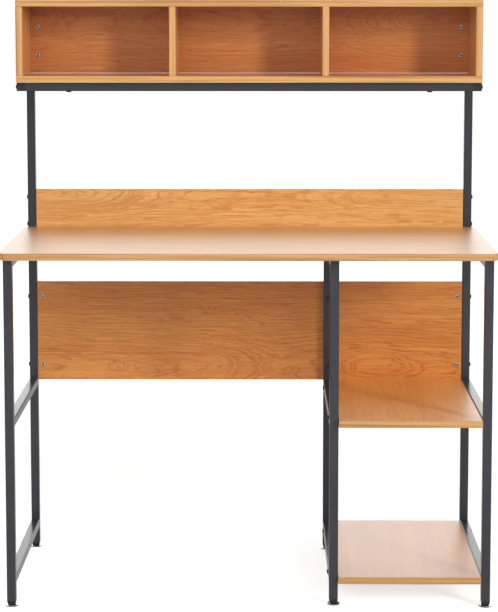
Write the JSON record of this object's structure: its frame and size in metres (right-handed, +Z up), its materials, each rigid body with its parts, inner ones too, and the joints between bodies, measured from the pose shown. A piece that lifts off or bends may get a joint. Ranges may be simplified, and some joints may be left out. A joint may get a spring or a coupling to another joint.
{
  "type": "student desk with hutch",
  "caption": "Desk with a shelf bay at the right and an open three-cubby hutch, oak-look boards on a dark square steel tube frame with levelling feet.",
  "frame": {"origin": "on the floor, at the centre of the desk's outline in plan", "axes": "+X to the user's right, +Y to the back of the desk, +Z up"},
  "size_m": [1.05, 0.5235, 1.292],
  "materials": {
    "oak_board": "satin oak-look foil on board",
    "frame_paint": "fine satin powder coat, dark graphite",
    "black_plastic": "matte moulded",
    "foot_metal": "bright plated",
    "dark_hardware": "black oxide",
    "nickel": "nickel plated"
  },
  "bodies": {
    "desk": {"desktop": "oak_board", "backsplash_panel": "oak_board", "modesty_panel": "oak_board", "middle_shelf": "oak_board", "lower_shelf": "oak_board", "hutch_top": "oak_board", "hutch_bottom": "oak_board", "hutch_left_side": "oak_board", "hutch_right_side": "oak_board", "hutch_left_divider": "oak_board", "hutch_right_divider": "oak_board", "hutch_back_panel": "oak_board", "hutch_front_rail": "frame_paint", "left_front_leg": "frame_paint", "left_rear_post": "frame_paint", "left_top_rail": "frame_paint", "left_middle_rail": "frame_paint", "left_lower_rail": "frame_paint", "left_hutch_arm": "frame_paint", "right_front_leg": "frame_paint", "right_rear_post": "frame_paint", "right_top_rail": "frame_paint", "right_middle_rail": "frame_paint", "right_lower_rail": "frame_paint", "right_hutch_arm": "frame_paint", "inner_front_leg": "frame_paint", "inner_rear_leg": "frame_paint", "inner_top_rail": "frame_paint", "inner_middle_rail": "frame_paint", "inner_lower_rail": "frame_paint", "post_caps": "black_plastic", "arm_caps": "black_plastic", "leg_inserts": "black_plastic", "modesty_bolts": "dark_hardware", "backsplash_bolts": "dark_hardware", "shelf_bolts": "dark_hardware", "hutch_back_bolts": "dark_hardware", "hutch_rail_bolts": "dark_hardware", "hutch_mount_screws": "dark_hardware", "inner_leg_screws": "dark_hardware", "modesty_barrel_nuts": "nickel", "hutch_barrel_nuts": "nickel"},
    "front_left_foot": {"front_left_foot": "foot_metal"},
    "rear_left_foot": {"rear_left_foot": "foot_metal"},
    "front_right_foot": {"front_right_foot": "foot_metal"},
    "rear_right_foot": {"rear_right_foot": "foot_metal"},
    "front_inner_foot": {"front_inner_foot": "foot_metal"},
    "rear_inner_foot": {"rear_inner_foot": "foot_metal"}
  },
  "joints": [
    {"name": "front_left_foot_screw", "type": "slide", "parent": "desk", "child": "front_left_foot", "axis": [0, 0, -1], "range_m": [0, 0.01]},
    {"name": "rear_left_foot_screw", "type": "slide", "parent": "desk", "child": "rear_left_foot", "axis": [0, 0, -1], "range_m": [0, 0.01]},
    {"name": "front_right_foot_screw", "type": "slide", "parent": "desk", "child": "front_right_foot", "axis": [0, 0, -1], "range_m": [0, 0.01]},
    {"name": "rear_right_foot_screw", "type": "slide", "parent": "desk", "child": "rear_right_foot", "axis": [0, 0, -1], "range_m": [0, 0.01]},
    {"name": "front_inner_foot_screw", "type": "slide", "parent": "desk", "child": "front_inner_foot", "axis": [0, 0, -1], "range_m": [0, 0.01]},
    {"name": "rear_inner_foot_screw", "type": "slide", "parent": "desk", "child": "rear_inner_foot", "axis": [0, 0, -1], "range_m": [0, 0.01]}
  ]
}
